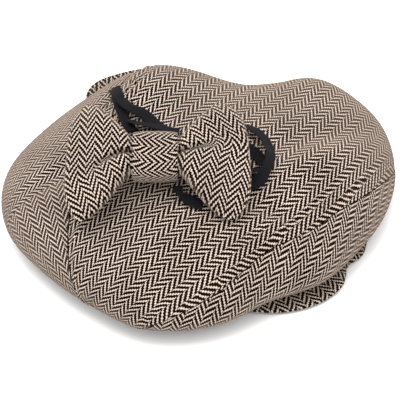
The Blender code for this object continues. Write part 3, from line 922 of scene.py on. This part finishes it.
# Each row is x, y and the lift of the tape's middle over the crown, in millimetres, and how far
# its right-hand edge is turned up, in degrees. The route's units are what brings a row to metres
# and radians, and its steps are the ones that the curve makes from a row to the next.
ROUTE_UNITS = (1000, 1000, 1000, 57.3)
ROUTE_STEPS = 12
TAPES = {
    "tape_end": (
        (-25, 77, 0.9, 0),
        (-29, 65, 3.0, 25),
        (-34, 54, 3.6, 32),
        (-37, 45, 3.6, 32),
        (-40, 35, 3.6, 30),
        (-41, 25, 3.0, 20),
    ),
    "tape_fold": (
        (-31, 57, 5.4, 25),
        (-31, 49, 5.2, 20),
        (-29, 43, 4.4, 8),
        (-26, 38, 3.2, 2),
        (-24, 31, 1.6, 0),
        (-24, 25, 1.0, 0),
        (-23, 18, 0.9, 0),
    ),
    "tape_cross": (
        (-37, 35, 4.0, 35),
        (-35, 29, 4.3, 32),
        (-32, 24, 4.8, 27),
        (-29, 19, 5.0, 22),
        (-25, 13, 4.6, 16),
        (-21, 7, 3.6, 8),
        (-16, 3, 2.8, 4),
    ),
    "tape_loop": (
        (24, -10, 3.4, 22),
        (26, -16, 4.0, 19),
        (30, -23, 4.8, 16),
        (31, -28, 5.2, 14),
        (31, -35, 5.8, 16),
        (28, -43, 6.4, 26),
        (24, -51, 7.0, 42),
        (18, -57, 7.2, 48),
        (11, -62, 6.2, 42),
        (6, -64, 4.6, 28),
        (0, -63, 2.8, 14),
        (-5, -61, 1.7, 5),
        (-10, -59, 1.2, 0),
    ),
    "tape_inner": (
        (14, -29, 1.9, -12),
        (18, -37, 2.1, -12),
        (19, -43, 1.8, -4),
        (19, -48, 1.3, 0),
        (18, -52, 1.3, 0),
    ),
    "tape_back": (
        (11, -57, 3.1, -30),
        (8, -56, 3.5, -34),
        (3, -54, 3.6, -35),
        (-3, -50, 3.5, -34),
    ),
    "tape_low": (
        (-47, -39, 1.7, 8),
        (-48, -43, 3.5, 40),
        (-49, -46, 3.8, 44),
        (-47, -50, 2.6, 17),
        (-45, -54, 1.9, 8),
        (-43, -57, 1.6, 4),
        (-39, -61, 1.3, 0),
    ),
}


def crown_height(x, y):
    """The crown's height over a point of the plan, without its seams and its slackness."""
    angle = np.arctan2(y, x)
    share = np.clip(np.hypot(x, y) / rim_radius(angle), 0, 1)
    return dome_height(share, angle) + folds(x, y) * (1 - share**FOLD_FADE)


def crown_facing(x, y):
    """Vectors square to the crown, from its height a little way to each side."""
    step = 0.002
    slope_x = (crown_height(x + step, y) - crown_height(x - step, y)) / (2 * step)
    slope_y = (crown_height(x, y + step) - crown_height(x, y - step)) / (2 * step)
    return np.stack([-slope_x, -slope_y, np.ones_like(x)], axis=-1)


def smooth_line(points, steps):
    """A cubic curve through points, as whole arrays, with some steps in each stretch."""
    before = 2 * points[:1] - points[1:2]
    after = 2 * points[-1:] - points[-2:-1]
    longer = np.concatenate([before, points, after])
    stretches = len(points) - 1
    neighbours = (longer[k : k + stretches, None] for k in range(4))
    line = cubic(*neighbours, (np.arange(steps) / steps)[None, :, None])
    return np.concatenate([line.reshape(-1, points.shape[1]), points[-1:]])


def tape_strip(name, route):
    """A flat strip along its route over the crown, turned about the route out of the crown's own
    plane, and thinner at its edges."""
    x, y, lift, turned = smooth_line(np.array(route) / ROUTE_UNITS, ROUTE_STEPS).T
    middle = np.stack([x, y, crown_height(x, y) + lift], axis=-1)
    ahead = np.gradient(middle, axis=0)
    across = square_to(ahead, crown_facing(x, y))
    upright = square_to(across, ahead)
    across = across * np.cos(turned)[:, None] + upright * np.sin(turned)[:, None]
    side = np.linspace(-1, 1, TAPE_COLUMNS)[:, None]
    strip = middle + TAPE_WIDTH / 2 * side[..., None] * across
    facing = square_to(np.gradient(strip, axis=0), np.gradient(strip, axis=1))
    half = (TAPE_CLOTH / 2 * np.sqrt(1 - TAPE_EDGE * side**TAPE_EDGE_POWER))[..., None]
    steps = np.linalg.norm(np.diff(middle, axis=0), axis=1)
    length = np.concatenate([[0], np.cumsum(steps)])
    pattern = np.stack(np.broadcast_arrays(side * TAPE_WIDTH / 2, length), axis=-1)
    return cloth_body(name, strip + facing * half, strip - facing * half, pattern)


RIB_STEP = 0.0007
# Where the selvedge begins and where it is full, from the tape's middle, and its relief.
SELVEDGE_FROM = 0.0036
SELVEDGE_TO = 0.0042
SELVEDGE_RELIEF = 1.2
TAPE_BLACK = (0.002, 0.002, 0.0024, 1)
TAPE_GREY = (0.009, 0.009, 0.011, 1)


def black_tape(name):
    """Woven black tape: fine ribs across it and a thin selvedge line along each side."""
    made, tree, shader = new_material(name, roughness=0.65)
    place = tree.nodes.new("ShaderNodeUVMap")
    place.uv_map = "cloth"
    split = tree.nodes.new("ShaderNodeSeparateXYZ")
    wire(tree, split, {0: place.outputs[0]})
    turns = math_of(tree, "MULTIPLY", split.outputs[1], 2 * math.pi / RIB_STEP)
    ribs = math_of(tree, "SINE", turns)
    side = math_of(tree, "ABSOLUTE", split.outputs[0])
    selvedge = range_of(tree, side, SELVEDGE_FROM, SELVEDGE_TO, 0.0, 1.0)
    grain = noise_of(tree, place.outputs[0], scale=700.0)
    height = math_of(tree, "ADD", ribs, math_of(tree, "MULTIPLY", selvedge, SELVEDGE_RELIEF))
    height = math_of(tree, "ADD", height, grain)
    colour = blend_of(tree, grain, TAPE_BLACK, TAPE_GREY)
    wire(tree, shader, {"Base Color": colour, "Sheen Weight": 0.003, "Sheen Roughness": 0.4})
    shader.inputs["Specular IOR Level"].default_value = 0.04
    bump_into(tree, shader, height, distance=0.0002, strength=0.5)
    return made


tape_cloth = black_tape("black_tape")
for node, route in TAPES.items():
    stand_for(tape_strip(node + "_strip", route), node, tape_cloth, tape_cloth)

# ---------------------------------------------------------------------------------------------
# The stage: a pale floor and soft light from all round, a little stronger from above.
# ---------------------------------------------------------------------------------------------
FLOOR_HALF = 3.0
FLOOR_GREY = (0.85, 0.85, 0.85, 1)
ROOM_WHITE = (1.0, 1.0, 1.0, 1)
ROOM_STRENGTH = 1.8
KEY_PLACE = (-0.35, 0.15, 2.2)
KEY_SIZE = 1.6
KEY_WATTS = 38

floor_mesh = bpy.data.meshes.new("floor")
floor_sides = [(-1, -1), (1, -1), (1, 1), (-1, 1)]
floor_corners = [(x * FLOOR_HALF, y * FLOOR_HALF, 0) for x, y in floor_sides]
floor_mesh.from_pydata(floor_corners, [], [(0, 1, 2, 3)])
floor = bpy.data.objects.new("floor", floor_mesh)
bpy.context.scene.collection.objects.link(floor)
floor_paint, _, floor_shader = new_material("floor_paper", roughness=0.9)
floor_shader.inputs["Base Color"].default_value = FLOOR_GREY
floor_mesh.materials.append(floor_paint)

world = bpy.data.worlds.new("soft_room")
world.use_nodes = True
background = world.node_tree.nodes["Background"]
background.inputs["Color"].default_value = ROOM_WHITE
background.inputs["Strength"].default_value = ROOM_STRENGTH
bpy.context.scene.world = world

key_light = bpy.data.lights.new("key", "AREA")
key_light.size = KEY_SIZE
key_light.energy = KEY_WATTS
key_lamp = bpy.data.objects.new("key", key_light)
key_lamp.location = KEY_PLACE
key_lamp.rotation_euler = Vector(KEY_PLACE).to_track_quat("Z", "Y").to_euler()
bpy.context.scene.collection.objects.link(key_lamp)
